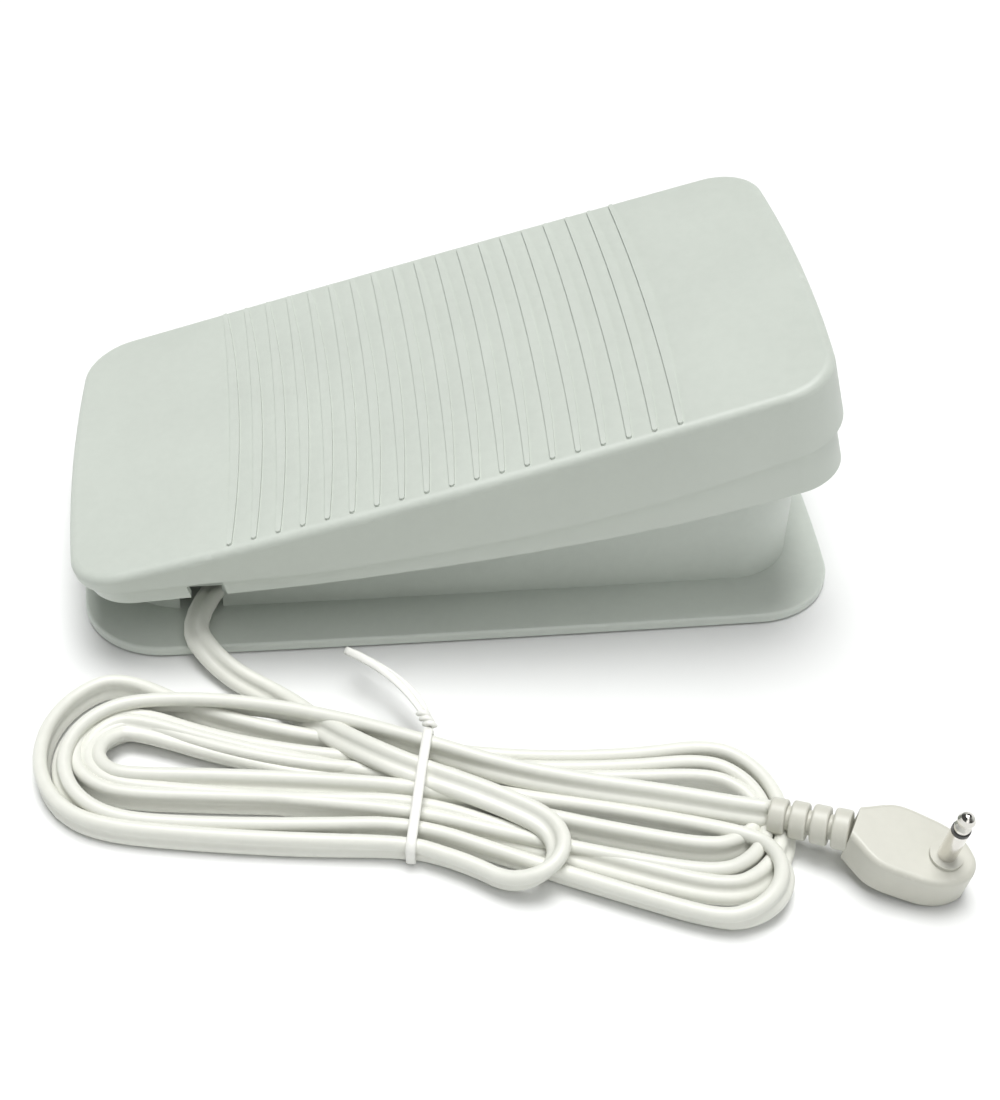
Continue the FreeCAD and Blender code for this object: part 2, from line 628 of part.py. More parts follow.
def cord_clamp():
    middle = clamp_middle()
    low = middle.z + CORD_RADIUS + 0.1
    bar = box((middle.x - 10, middle.y - 3.2, low), (middle.x + 10, middle.y + 3.2, low + 2.2))
    bar = bar.makeFillet(2.4, [e for e in bar.Edges if abs(e.BoundBox.ZMax - e.BoundBox.ZMin) > 1])
    for x, y in clamp_places():
        bar = bar.cut(cylinder(SCREW_RADIUS, 4, (x, y, low - 1), (0, 0, 1)))
    return bar


def clamp_screws():
    seat = clamp_middle().z + CORD_RADIUS + 2.3
    return Part.makeCompound([screw(SCREW_RADIUS, 5.2, 2.3, 1.4, (x, y, seat), (0, 0, -1))
                              for x, y in clamp_places()])


def return_spring():
    """Compression spring with its ends ground flat."""
    length = SPRING_TOP - SPRING_BASE
    helix = Part.makeHelix(length / SPRING_TURNS, length, SPRING_RADIUS)
    helix.translate(Vector(SPRING_X, 0, SPRING_BASE))
    start = Vector(SPRING_X + SPRING_RADIUS, 0, SPRING_BASE)
    ring = Part.Wire([Part.makeCircle(SPRING_WIRE, start, Vector(0, 1, 0))])
    coil = Part.Wire(helix.Edges).makePipeShell([ring], True, True)
    slab = box((SPRING_X - 20, -20, SPRING_BASE), (SPRING_X + 20, 20, SPRING_TOP))
    return coil.common(slab)


def spring_cap():
    """Nylon cup under the deck that holds the spring's upper end."""
    body = cylinder(8.0, 20, (SPRING_X, 0, SPRING_TOP), (0, 0, 1))
    under = side_slice(dish_edge(COVER_TOP + DECK), dish_edge(60))
    under.Placement = TREAD_FRAME
    body = body.common(under)
    spigot_radius = SPRING_RADIUS - SPRING_WIRE - 0.4
    return body.fuse(cylinder(spigot_radius, 4.0, (SPRING_X, 0, SPRING_TOP - 4), (0, 0, 1)))


def down_stops():
    top = stop_top()
    stops = []
    for side in (-1, 1):
        pad = cylinder(STOP_RADIUS, STOP_HEIGHT, (STOP_X, side * STOP_Y, top - STOP_HEIGHT), (0, 0, 1))
        pad = pad.makeFillet(0.8, [e for e in pad.Edges if e.BoundBox.ZMin > top - 0.01])
        stem = cylinder(2.0, 3.6, (STOP_X, side * STOP_Y, top - STOP_HEIGHT - 3.6), (0, 0, 1))
        stops.append(pad.fuse(stem))
    return Part.makeCompound(stops)


def cord_path():
    """Straight runs joined by tangent arcs; returns the wire and prints the bend radii."""
    points = [Vector(*p) for p in CORD_POINTS]
    edges = []
    last = points[0]
    for before, corner, after in zip(points, points[1:], points[2:]):
        inward = (corner - before).normalize()
        outward = (after - corner).normalize()
        half_turn = inward.getAngle(outward) / 2
        shorter = min((corner - before).Length, (after - corner).Length)
        setback = 0.45 * shorter
        radius = setback / math.tan(half_turn)
        print("cord bend radius", round(radius, 1))
        start = corner - inward * setback
        end = corner + outward * setback
        middle = corner + (outward - inward).normalize() * (radius / math.cos(half_turn) - radius)
        edges.append(Part.LineSegment(last, start).toShape())
        edges.append(Part.Arc(start, middle, end).toShape())
        last = end
    edges.append(Part.LineSegment(last, points[-1]).toShape())
    return Part.Wire(edges)


def cord_lead():
    path = cord_path()
    heading = Vector(*CORD_POINTS[1]) - Vector(*CORD_POINTS[0])
    ring = Part.Wire([Part.makeCircle(CORD_RADIUS, Vector(*CORD_POINTS[0]), heading)])
    tube = path.makePipeShell([ring], True, True)
    print("cord tube", round(path.Length, 1), round(tube.Volume / (math.pi * CORD_RADIUS ** 2 * path.Length), 4))
    return tube


def cord_hank():
    """Outer shape of the tied loops lying on the floor."""
    rim = [(-87.3, -72.0), (-84.4, -60.0), (-75.0, -54.2), (-60.0, -57.0), (-37.0, -62.4),
           (-12.5, -76.0), (14.0, -80.6), (36.0, -79.8), (48.0, -83.8), (52.4, -91.5),
           (52.6, -100.0), (52.6, -108.5), (51.4, -118.0), (38.7, -125.6), (20.6, -119.4),
           (6.0, -114.6), (-16.5, -104.9), (-37.0, -99.6), (-65.0, -95.6), (-79.0, -88.0)]
    curve = Part.BSplineCurve()
    curve.interpolate([Vector(x, y, HANK_LOW) for x, y in rim], PeriodicFlag=True)
    return Part.Face(Part.Wire([curve.toShape()])).extrude(Vector(0, 0, HANK_HIGH - HANK_LOW))


def twist_tie():
    """A strap round the hank's waist, its twisted knot and its two tails."""
    a = Vector(-10.0, -75.2, 0)
    b = Vector(-16.8, -106.4, 0)
    along = (b - a).normalize()
    across = Vector(-along.y, along.x, 0)
    half = TIE_WIDTH / 2
    plan = [a + across * half, b + across * half, b - across * half, a - across * half]
    outer = polygon_face(plan).extrude(Vector(0, 0, HANK_HIGH + TIE_THICK))
    strap = outer.cut(cord_hank())
    knot = Part.makeSphere(2.0, a + Vector(0, 0.6, HANK_HIGH - 1))
    solids = [knot]
    for end in (Vector(-25.0, -54.0, 9.5), Vector(-23.0, -52.6, 6.5)):
        start = a + Vector(0, 0.6, HANK_HIGH - 1)
        solids.append(Part.makeCylinder(0.7, (end - start).Length, start, end - start))
    return strap.fuse(solids).cut(cord_hank()).removeSplitter()


def relief_line():
    return Vector(*PLUG_TAIL) - Vector(*RELIEF_TAIL)


def nose_place():
    """Frame of the plug's body: past the strain relief, nose a little down and rolled to the near side."""
    turn = Rotation(Vector(0, 0, 1), PLUG_HEADING).multiply(Rotation(Vector(0, 1, 0), PLUG_PITCH))
    return Placement(Vector(*PLUG_TAIL), turn.multiply(Rotation(Vector(1, 0, 0), PLUG_ROLL)))


def strain_relief():
    """Ringed sleeve moulded on the cord behind the plug."""
    line = relief_line()
    collar = (line.Length - (RELIEF_COLLARS - 1) * RELIEF_SLOT) / RELIEF_COLLARS
    core = cylinder(RELIEF_RADIUS - 1.5, line.Length, (0, 0, 0), (1, 0, 0))
    for k in range(RELIEF_COLLARS):
        start = k * (collar + RELIEF_SLOT)
        radius = RELIEF_RADIUS * (0.90 + 0.033 * k)
        ring = cylinder(radius, collar, (start, 0, 0), (1, 0, 0))
        ends = [e for e in ring.Edges if e.BoundBox.XMax - e.BoundBox.XMin < 1e-3]
        core = core.fuse(ring.makeFillet(0.5, ends))
    core.Placement = Placement(Vector(*RELIEF_TAIL), Rotation(Vector(1, 0, 0), line))
    return core.removeSplitter()


def plug_body():
    half = PLUG_HEIGHT / 2
    rim = [(0, -3.6), (2.2, -5.0), (5.6, -6.9), (11.0, -7.2), (17.0, -6.4), (21.6, -3.2)]
    side = [Vector(x, y, -half) for x, y in rim]
    near = Part.BSplineCurve()
    near.interpolate(side)
    far = Part.BSplineCurve()
    far.interpolate([Vector(p.x, -p.y, p.z) for p in side])
    nose = Part.Arc(side[-1], Vector(22.8, 0, -half), Vector(side[-1].x, -side[-1].y, -half)).toShape()
    tail = Part.makeLine(Vector(0, -side[0].y, -half), side[0])
    outline = Part.Wire([near.toShape(), nose, far.toShape(), tail])
    body = Part.Face(outline).extrude(Vector(0, 0, PLUG_HEIGHT))
    rim = [e for e in body.Edges if e.BoundBox.ZMin > half - 0.1 and e.BoundBox.XMax > 1]
    body = body.makeFillet(1.1, rim)
    body = body.fuse(cylinder(BOSS_RADIUS, BOSS_HEIGHT + 1, (JACK_X, 0, half - 1), (0, 0, 1)))
    body.Placement = nose_place()
    return body.removeSplitter()


def jack_start():
    return PLUG_HEIGHT / 2 + BOSS_HEIGHT


def jack_sleeve():
    sleeve = cylinder(JACK_RADIUS, SLEEVE_LENGTH, (JACK_X, 0, jack_start()), (0, 0, 1))
    sleeve.Placement = nose_place()
    return sleeve


def jack_ring():
    ring = cylinder(JACK_RADIUS, RING_LENGTH, (JACK_X, 0, jack_start() + SLEEVE_LENGTH), (0, 0, 1))
    ring.Placement = nose_place()
    return ring


def jack_tip():
    """The contact's waisted neck and pointed end, turned about the jack's axis."""
    start = jack_start() + SLEEVE_LENGTH + RING_LENGTH
    rows = [(0, 0), (1.55, 0), (1.55, 0.9), (1.05, 1.6), (1.55, 2.5), (1.62, 3.0), (1.2, 3.9),
            (0.5, 4.4), (0, 4.5)]
    points = [Vector(JACK_X + r, 0, start + z) for r, z in rows]
    tip = polygon_face(points).revolve(Vector(JACK_X, 0, 0), Vector(0, 0, 1), 360)
    tip.Placement = nose_place()
    return tip


def in_tread(shape):
    shape.Placement = TREAD_FRAME
    return shape


def main():
    shapes = {
        "base_shell": base_shell(),
        "rubber_feet": rubber_feet(),
        "hinge_pin": hinge_pin(),
        "circuit_board": circuit_board(),
        "board_parts": board_parts(),
        "board_screws": board_screws(),
        "inner_leads": inner_leads(),
        "pot_body": pot_body(),
        "pot_nut": pot_nut(),
        "pot_bracket": pot_bracket(),
        "bracket_screws": bracket_screws(),
        "return_spring": return_spring(),
        "down_stops": down_stops(),
        "cord_clamp": cord_clamp(),
        "clamp_screws": clamp_screws(),
        "top_cover": in_tread(top_cover()),
        "lower_shell": lower_shell(),
        "cover_screws": cover_screws(),
        "hinge_bushes": hinge_bushes(),
        "sector_arm": sector_arm(),
        "sector_screws": sector_screws(),
        "spring_cap": spring_cap(),
        "pot_shaft": pot_shaft(),
        "pinion": pinion(),
        "cord_lead": cord_lead(),
        "cord_hank": cord_hank(),
        "twist_tie": twist_tie(),
        "strain_relief": strain_relief(),
        "plug_body": plug_body(),
        "jack_sleeve": jack_sleeve(),
        "jack_ring": jack_ring(),
        "jack_tip": jack_tip(),
    }
    os.makedirs("parts", exist_ok=True)
    for name, shape in shapes.items():
        bounds = shape.BoundBox
        print(name, "valid", shape.isValid(), "solids", len(shape.Solids), "volume", round(shape.Volume, 1),
              [round(v, 1) for v in (bounds.XMin, bounds.XMax, bounds.YMin, bounds.YMax)],
              [round(v, 1) for v in (bounds.ZMin, bounds.ZMax)])
        shape.exportStep("parts/" + name + ".step")


main()
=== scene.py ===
"""Looks of the sewing machine foot control: materials, flat cord in its tied hank, twist tie and plug.

Lengths are millimetres, turned into metres where Blender takes them. +X is the raised toe end and -Y the side
where the cord leaves.
"""
import math
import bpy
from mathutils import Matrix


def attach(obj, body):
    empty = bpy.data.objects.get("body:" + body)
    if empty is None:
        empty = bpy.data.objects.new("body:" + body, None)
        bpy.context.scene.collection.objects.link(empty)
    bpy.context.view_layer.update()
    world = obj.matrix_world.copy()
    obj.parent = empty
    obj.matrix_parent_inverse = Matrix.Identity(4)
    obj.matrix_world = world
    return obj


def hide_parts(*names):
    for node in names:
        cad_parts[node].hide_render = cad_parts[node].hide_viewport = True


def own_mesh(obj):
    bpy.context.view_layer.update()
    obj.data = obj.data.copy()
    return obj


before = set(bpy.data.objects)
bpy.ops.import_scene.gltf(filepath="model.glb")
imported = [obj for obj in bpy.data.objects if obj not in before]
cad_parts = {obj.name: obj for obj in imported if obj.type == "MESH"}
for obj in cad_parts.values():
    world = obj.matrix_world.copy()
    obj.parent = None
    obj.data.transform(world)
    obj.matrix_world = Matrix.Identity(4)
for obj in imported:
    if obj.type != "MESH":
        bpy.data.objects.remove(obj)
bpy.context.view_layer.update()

import bmesh
import bpy
import numpy as np
from mathutils import Matrix, Vector

MM = 0.001

# Camera
CAMERA_PLACE = (-36.0, -337.7, 274.0)
CAMERA_YAW = 4.36             # degrees, towards +X
CAMERA_PITCH = 40.53          # degrees below the horizon
CAMERA_ROLL = -0.24
CAMERA_LENS = 62.03
CAMERA_SENSOR = 36.0
CAMERA_SHIFT = (0.0915, 0.0176)
CAMERA_CLIP = 10.0

# Floor and light: each sun's way, strength and spread in degrees
FLOOR_REACH = 6000.0
FLOOR_COLOUR = (0.84, 0.845, 0.84)
SKY_COLOUR = (0.97, 1.0, 0.98)
SKY_FADE = (0.20, 0.36)       # heights where the pale horizon starts and ends fading, 1 straight up
SKY_STRENGTH = (0.80, 0.07)   # at the horizon and overhead
SUNS = {
    "key": ((0.0, -0.24, -1.30), 2.95, 36),
    "front": ((-0.15, 0.62, -1.20), 0.90, 50),
}

# Flat two-core cord
CORE_RADIUS = 1.42
CORE_OFFSET = 1.38            # each core from the cord's middle
GROOVE_HALF = 0.95            # half the thickness at the groove
CORE_SPAN = 126               # each core's outline runs this many degrees to both sides of its outer edge
CORE_STEP = 18
CORD_STEPS = 8                # samples between neighbouring control points
FLOOR_GAP = 0.05

# The lead from the base, and its rolls: 0 lies flat, 90 or -90 stands on edge
LEAD = ((-41.0, -10.0, 5.0), (-59.5, -36.0, 6.8), (-51.5, -51.0, 3.6), (-38.0, -61.0, 2.1),
        (-31.5, -71.6, 5.6), (-22.0, -81.4, 7.7))
LEAD_ROLLS = (0, -10, -45, -55, -50, -45)

# Hank: the line across it where the tie sits, then each place where the cord crosses that line, as the share
# across and the height, in order along the cord
WAIST = ((-10.0, -77.0), (-17.0, -103.5))
CROSSINGS = ((0.39, 7.5), (0.93, 2.9), (0.04, 2.8), (0.56, 3.0), (0.15, 2.8), (0.64, 2.8),
             (0.26, 2.8), (0.47, 4.4), (0.37, 2.8), (0.74, 2.9), (0.12, 7.2))
# Each half turn: middle of its end bend, reach and half width there, heading in degrees,
# bow of its two sides, then heights and rolls on the first side, at the end and on the second side
HALF_TURNS = (
    ((3.2, -105.2), 8.4, 6.9, -38, 0.6, -0.8, (7.2, 6.6, 3.4), (-35, -60, -70)),
    ((-69.6, -72.6), 17.2, 20.2, 176, 1.0, -4.5, (2.6, 2.2, 2.8), (-90, -80, -80)),
    ((40.0, -99.3), 15.7, 18.4, -6, -2.6, 1.0, (2.8, 1.8, 2.8), (-95, -120, -135)),
    ((-66.0, -74.0), 14.0, 11.2, 178, 0.0, -3.5, (2.6, 2.6, 3.0), (-90, -90, -90)),
    ((38.6, -99.2), 14.0, 14.4, -6, -2.0, 1.0, (2.6, 1.8, 2.6), (-95, -120, -90)),
    ((-66.0, -74.4), 11.4, 8.6, 178, 0.0, -3.5, (2.6, 2.6, 3.0), (-90, -90, -90)),
    ((38.6, -98.0), 12.6, 9.2, -8, -1.0, 0.6, (2.6, 1.8, 2.6), (-90, -120, -100)),
    ((-68.0, -74.2), 8.6, 7.6, 176, -0.6, -1.5, (4.4, 4.4, 4.4), (-120, -165, -210)),
    ((41.3, -113.2), 10.8, 10.6, -30, 1.0, 0.4, (3.4, 5.2, 2.9), (-290, -300, -250)),
    ((-66.0, -76.6), 16.6, 15.2, 178, 1.0, 4.0, (3.2, 4.8, 5.4), (-265, -305, -290)),
)
END_ANGLES = (-78, -47, -16, 16, 47, 78)
END_SWELL = 1.03              # control points lie this much outside the bend that they make
FIRST_SHARES = (0.35, 0.7)
SECOND_SHARES = (0.3, 0.65)
TAIL = ((2.3, -87.2, 6.8), (17.0, -92.3, 6.6), (34.0, -96.6, 6.2), (46.0, -100.4, 6.0),
        (51.9, -102.2, 6.3))
TAIL_ROLL = -240


# ---------------------------------------------------------------- camera, floor and light

def make_camera():
    """The camera at the picture's place and angle."""
    yaw, pitch, roll = (math.radians(v) for v in (CAMERA_YAW, CAMERA_PITCH, CAMERA_ROLL))
    look = Vector((math.sin(yaw) * math.cos(pitch), math.cos(yaw) * math.cos(pitch), -math.sin(pitch)))
    level = Vector((math.cos(yaw), -math.sin(yaw), 0))
    upright = level.cross(look)
    right = level * math.cos(roll) + upright * math.sin(roll)
    up = upright * math.cos(roll) - level * math.sin(roll)
    turn = Matrix((right, up, -look)).transposed()
    data = bpy.data.cameras.new("camera")
    data.lens = CAMERA_LENS
    data.sensor_width = CAMERA_SENSOR
    data.shift_x, data.shift_y = CAMERA_SHIFT
    data.clip_start = CAMERA_CLIP * MM
    camera = bpy.data.objects.new("camera", data)
    camera.matrix_world = Matrix.Translation(Vector(CAMERA_PLACE) * MM) @ turn.to_4x4()
    bpy.context.scene.collection.objects.link(camera)
    bpy.context.scene.camera = camera


def sun_light(name, towards, strength, spread):
    """A sun shining this way, its spread in degrees."""
    data = bpy.data.lights.new(name, "SUN")
    data.energy = strength
    data.angle = math.radians(spread)
    light = bpy.data.objects.new(name, data)
    light.rotation_euler = Vector(towards).to_track_quat("-Z", "Y").to_euler()
    bpy.context.scene.collection.objects.link(light)


def make_sky():
    """A world that is pale at the horizon and dim overhead."""
    world = bpy.data.worlds.new("studio")
    world.use_nodes = True
    tree = world.node_tree
    sky = tree.nodes["Background"]
    sky.inputs["Color"].default_value = (*SKY_COLOUR, 1)
    heading = node(tree, "ShaderNodeSeparateXYZ")
    tree.links.new(tree.nodes.new("ShaderNodeTexCoord").outputs["Generated"], heading.inputs["Vector"])
    fade = node(tree, "ShaderNodeMapRange", From_Min=SKY_FADE[0], From_Max=SKY_FADE[1],
                To_Min=SKY_STRENGTH[0], To_Max=SKY_STRENGTH[1])
    tree.links.new(heading.outputs["Z"], fade.inputs["Value"])
    tree.links.new(fade.outputs["Result"], sky.inputs["Strength"])
    bpy.context.scene.world = world


def make_light():
    """The sky, both suns and a plain view of their colours."""
    make_sky()
    for name, (towards, strength, spread) in SUNS.items():
        sun_light(name, towards, strength, spread)
    bpy.context.scene.view_settings.view_transform = "Standard"


def make_floor():
    """The pale floor that the object stands on."""
    mesh = bpy.data.meshes.new("floor")
    reach = FLOOR_REACH * MM
    corners = [(-reach, -reach, 0), (reach, -reach, 0), (reach, reach, 0), (-reach, reach, 0)]
    mesh.from_pydata(corners, [], [(0, 1, 2, 3)])
    floor = bpy.data.objects.new("floor", mesh)
    bpy.context.scene.collection.objects.link(floor)
    paint = bpy.data.materials.new("floor_paper")
    paint.use_nodes = True
    shader = paint.node_tree.nodes["Principled BSDF"]
    shader.inputs["Base Color"].default_value = (*FLOOR_COLOUR, 1)
    shader.inputs["Roughness"].default_value = 0.9
    shader.inputs["Specular IOR Level"].default_value = 0.1
    mesh.materials.append(paint)


# ---------------------------------------------------------------- materials

MIX_FIRST, MIX_SECOND, MIX_RESULT = 6, 7, 2     # a colour mix node's sockets


def node(tree, kind, **values):
    """A new shader node with these sockets set; _ in a name stands for a space."""
    made = tree.nodes.new(kind)
    for key, value in values.items():
        made.inputs[key.replace("_", " ")].default_value = value
    return made


def mapped(tree, source, low, high):
    """The middle half of a texture's 0 to 1 value stretched from low to high."""
    ramp = node(tree, "ShaderNodeMapRange", From_Min=0.25, From_Max=0.75, To_Min=low, To_Max=high)
    tree.links.new(source, ramp.inputs["Value"])
    return ramp.outputs["Result"]


def colour_mix(tree, first, second):
    """A mix of two colours; either may be None, to be linked instead."""
    made = node(tree, "ShaderNodeMix")
    made.data_type = "RGBA"
    for socket, colour in ((MIX_FIRST, first), (MIX_SECOND, second)):
        if colour is not None:
            made.inputs[socket].default_value = (*colour, 1)
    return made


def cloudy(tree, colour, mottle, cloud, fleck):
    """The colour, darker and lighter in clouds and flecks."""
    dark = [c * (1 - mottle) for c in colour]
    light = [min(1.0, c * (1 + mottle)) for c in colour]
    tint = colour_mix(tree, dark, light)
    blend = node(tree, "ShaderNodeMath")
    blend.operation = "MULTIPLY_ADD"
    tree.links.new(mapped(tree, fleck, -0.25, 0.25), blend.inputs[0])
    blend.inputs[1].default_value = 1.0
    tree.links.new(mapped(tree, cloud, 0.1, 0.9), blend.inputs[2])
    blend.use_clamp = True
    tree.links.new(blend.outputs["Value"], tint.inputs["Factor"])
    return tint.outputs[MIX_RESULT]


def worn_edges(tree, under, colour, edge):
    """The colour under, paler on convex edges."""
    worn = colour_mix(tree, None, [min(1.0, c + edge) for c in colour])
    tree.links.new(under, worn.inputs[MIX_FIRST])
    convex = node(tree, "ShaderNodeMapRange", From_Min=0.52, From_Max=0.62, To_Min=0.0, To_Max=0.8)
    tree.links.new(tree.nodes.new("ShaderNodeNewGeometry").outputs["Pointiness"], convex.inputs["Value"])
    tree.links.new(convex.outputs["Result"], worn.inputs["Factor"])
    return worn.outputs[MIX_RESULT]


def moulded(name, colour, rough, grain=1900.0, grain_depth=0.012, mottle=0.035, edge=0.05, metal=0.0):
    """Moulded or drawn material: cloudy colour, fine surface grain, uneven gloss and paler worn edges."""
    material = bpy.data.materials.new(name)
    material.use_nodes = True
    tree = material.node_tree
    shader = tree.nodes["Principled BSDF"]
    shader.inputs["Metallic"].default_value = metal
    place = tree.nodes.new("ShaderNodeTexCoord").outputs["Object"]
    cloud = node(tree, "ShaderNodeTexNoise", Scale=32.0, Detail=3.0, Roughness=0.55)
    fleck = node(tree, "ShaderNodeTexNoise", Scale=520.0, Detail=2.0, Roughness=0.6)
    fine = node(tree, "ShaderNodeTexNoise", Scale=grain, Detail=2.5, Roughness=0.6)
    for texture in (cloud, fleck, fine):
        tree.links.new(place, texture.inputs["Vector"])
    mottled = cloudy(tree, colour, mottle, cloud.outputs["Fac"], fleck.outputs["Fac"])
    tree.links.new(worn_edges(tree, mottled, colour, edge), shader.inputs["Base Color"])
    gloss = mapped(tree, fleck.outputs["Fac"], rough - 0.05, rough + 0.05)
    tree.links.new(gloss, shader.inputs["Roughness"])
    bump = node(tree, "ShaderNodeBump", Strength=0.35, Distance=grain_depth * MM)
    tree.links.new(fine.outputs["Fac"], bump.inputs["Height"])
    tree.links.new(bump.outputs["Normal"], shader.inputs["Normal"])
    return material


# Each record slot's colour, roughness and what differs from moulded's usual finish
FINISHES = {
    # base_plastic and tread_plastic are one plastic: the base's copy is painted paler to offset the shade on
    # the flange under the tread, and the tread's copy darker as painted shade for its skirt
    "base_plastic": ((0.62, 0.66, 0.61), 0.42, {}),
    "tread_plastic": ((0.525, 0.562, 0.512), 0.45, {"grain": 1500.0, "grain_depth": 0.02}),
    "foot_rubber": ((0.06, 0.06, 0.06), 0.8, {"grain": 900.0, "grain_depth": 0.05}),
    "pin_steel": ((0.56, 0.56, 0.55), 0.28, {"metal": 1.0, "grain": 2600.0}),
    "board_laminate": ((0.03, 0.16, 0.07), 0.4, {"mottle": 0.12}),
    "board_parts": ((0.05, 0.05, 0.055), 0.45, {"mottle": 0.1}),
    "screw_zinc": ((0.62, 0.62, 0.60), 0.3, {"metal": 1.0, "grain": 2600.0}),
    "lead_sheath": ((0.5, 0.05, 0.04), 0.4, {}),
    "pot_steel": ((0.5, 0.5, 0.48), 0.35, {"metal": 1.0}),
    "pot_nut_brass": ((0.72, 0.55, 0.26), 0.3, {"metal": 1.0}),
    "bracket_steel": ((0.55, 0.56, 0.55), 0.4, {"metal": 1.0, "mottle": 0.08}),
    "spring_steel": ((0.5, 0.5, 0.5), 0.25, {"metal": 1.0}),
    "clamp_plastic": ((0.5, 0.53, 0.49), 0.45, {}),
    "cord_sheath": ((0.735, 0.74, 0.68), 0.40,
                    {"grain": 1200.0, "grain_depth": 0.01, "mottle": 0.03, "edge": 0.02}),
    "tie_plastic": ((0.82, 0.82, 0.78), 0.42, {"grain": 1400.0}),
    "plug_plastic": ((0.58, 0.575, 0.51), 0.38, {"grain": 1500.0}),
    "jack_nickel": ((0.72, 0.70, 0.66), 0.16, {"metal": 1.0, "grain": 3000.0, "grain_depth": 0.003}),
    "jack_insulator": ((0.012, 0.012, 0.012), 0.35, {}),
    "bush_nylon": ((0.72, 0.72, 0.68), 0.4, {}),
    "gear_nylon": ((0.74, 0.73, 0.66), 0.4, {}),
    "pot_shaft_steel": ((0.6, 0.6, 0.58), 0.25, {"metal": 1.0}),
}


def make_materials():
    """Every slot's material, by the record's slot name."""
    return {name: moulded(name, colour, rough, **others)
            for name, (colour, rough, others) in FINISHES.items()}


SLOT_NODES = {
    "base_plastic": ("base_shell", "down_stops"),
    "tread_plastic": ("top_cover", "lower_shell", "spring_cap"),
    "foot_rubber": ("rubber_feet",),
    "pin_steel": ("hinge_pin",),
    "board_laminate": ("circuit_board",),
    "board_parts": ("board_parts",),
    "screw_zinc": ("board_screws", "bracket_screws", "clamp_screws", "cover_screws", "sector_screws"),
    "lead_sheath": ("inner_leads",),
    "pot_steel": ("pot_body",),
    "pot_nut_brass": ("pot_nut",),
    "bracket_steel": ("pot_bracket",),
    "spring_steel": ("return_spring",),
    "clamp_plastic": ("cord_clamp",),
    "plug_plastic": ("strain_relief", "plug_body"),
    "jack_nickel": ("jack_sleeve", "jack_tip"),
    "jack_insulator": ("jack_ring",),
    "bush_nylon": ("hinge_bushes",),
    "gear_nylon": ("sector_arm", "pinion"),
    "pot_shaft_steel": ("pot_shaft",),
}


def dress_nodes(materials):
    """Each CAD node gets its slot's material."""
    for slot_name, names in SLOT_NODES.items():
        for name in names:
            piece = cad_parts[name]
            piece.data.materials.clear()
            piece.data.materials.append(materials[slot_name])


# ---------------------------------------------------------------- cord

def mix(a, b, share):
    """The point at this share of the way from a to b."""
    return tuple(p + share * (q - p) for p, q in zip(a, b))


def crossing(k):
    """Where the cord crosses the tie's line for the k-th time."""
    share, height = CROSSINGS[k]
    x, y = mix(WAIST[0], WAIST[1], share)
    return (x, y, height)


def along_three(values, share):
    """First, middle and last value at shares 0, 0.5 and 1."""
    if share < 0.5:
        return values[0] + 2 * share * (values[1] - values[0])
    return values[1] + (2 * share - 1) * (values[2] - values[1])


def bowed(a, b, share, bow):
    """A point on the run from a to b, bowed to its left."""
    x, y, z = mix(a, b, share)
    length = math.hypot(b[0] - a[0], b[1] - a[1])
    return (x - (b[1] - a[1]) / length * bow, y + (b[0] - a[0]) / length * bow, z)


def half_turn(k):
    """Control points and rolls of one loop of the hank, from crossing k to crossing k + 1."""
    middle, reach, half, heading, first_bow, second_bow, heights, rolls = HALF_TURNS[k]
    a = math.radians(heading)
    ahead = (math.cos(a), math.sin(a))
    aside = (math.sin(a), -math.cos(a))
    bend = []
    for angle in END_ANGLES:
        share = (angle - END_ANGLES[0]) / (END_ANGLES[-1] - END_ANGLES[0])
        out = END_SWELL * reach * math.cos(math.radians(angle))
        over = END_SWELL * half * math.sin(math.radians(angle))
        x, y = (middle[i] + ahead[i] * out + aside[i] * over for i in (0, 1))
        bend.append(((x, y, along_three(heights, share)), along_three(rolls, share)))
    first = [(bowed(crossing(k), bend[0][0], s, first_bow), rolls[0]) for s in FIRST_SHARES]
    second = [(bowed(bend[-1][0], crossing(k + 1), s, second_bow), rolls[2]) for s in SECOND_SHARES]
    return first + bend + second


def off_floor(place, roll):
    """The point raised, where it has to be, so that the cord turned by roll clears the floor."""
    needed = CORE_RADIUS + CORE_OFFSET * abs(math.sin(math.radians(roll))) + FLOOR_GAP
    return (place[0], place[1], max(place[2], needed))


def cord_route():
    """Every control point of the cord with its roll, from the board to the plug."""
    rows = list(zip(LEAD, LEAD_ROLLS))
    before = LEAD_ROLLS[-1]
    for k, turn in enumerate(HALF_TURNS):
        rolls = turn[-1]
        rows.append((crossing(k), (before + rolls[0]) / 2))
        rows += half_turn(k)
        before = rolls[2]
    rows.append((crossing(len(HALF_TURNS)), (before + TAIL_ROLL) / 2))
    rows += [(p, TAIL_ROLL) for p in TAIL]
    return [(off_floor(place, roll), roll) for place, roll in rows]


def spline_points(points, resolution):
    """Points along the NURBS spline that has these control points, in metres."""
    curve = bpy.data.curves.new("route", "CURVE")
    curve.dimensions = "3D"
    curve.resolution_u = resolution
    spline = curve.splines.new("NURBS")
    spline.points.add(len(points) - 1)
    for slot, place in zip(spline.points, points):
        slot.co = (*[c * MM for c in place], 1)
    spline.order_u = 3
    spline.use_endpoint_u = True
    spline.resolution_u = resolution
    holder = bpy.data.objects.new("route", curve)
    mesh = bpy.data.meshes.new_from_object(holder)
    found = np.array([v.co[:] for v in mesh.vertices])
    bpy.data.objects.remove(holder)
    bpy.data.meshes.remove(mesh)
    return found


def cord_section():
    """Outline of the flat cord, across and through, in millimetres."""
    outline = []
    for side in (1, -1):
        for angle in range(-CORE_SPAN, CORE_SPAN + 1, CORE_STEP):
            a = math.radians(angle)
            across = CORE_OFFSET + CORE_RADIUS * math.cos(a)
            outline.append((side * across, side * CORE_RADIUS * math.sin(a)))
        outline.append((0.0, side * GROOVE_HALF))
    return outline


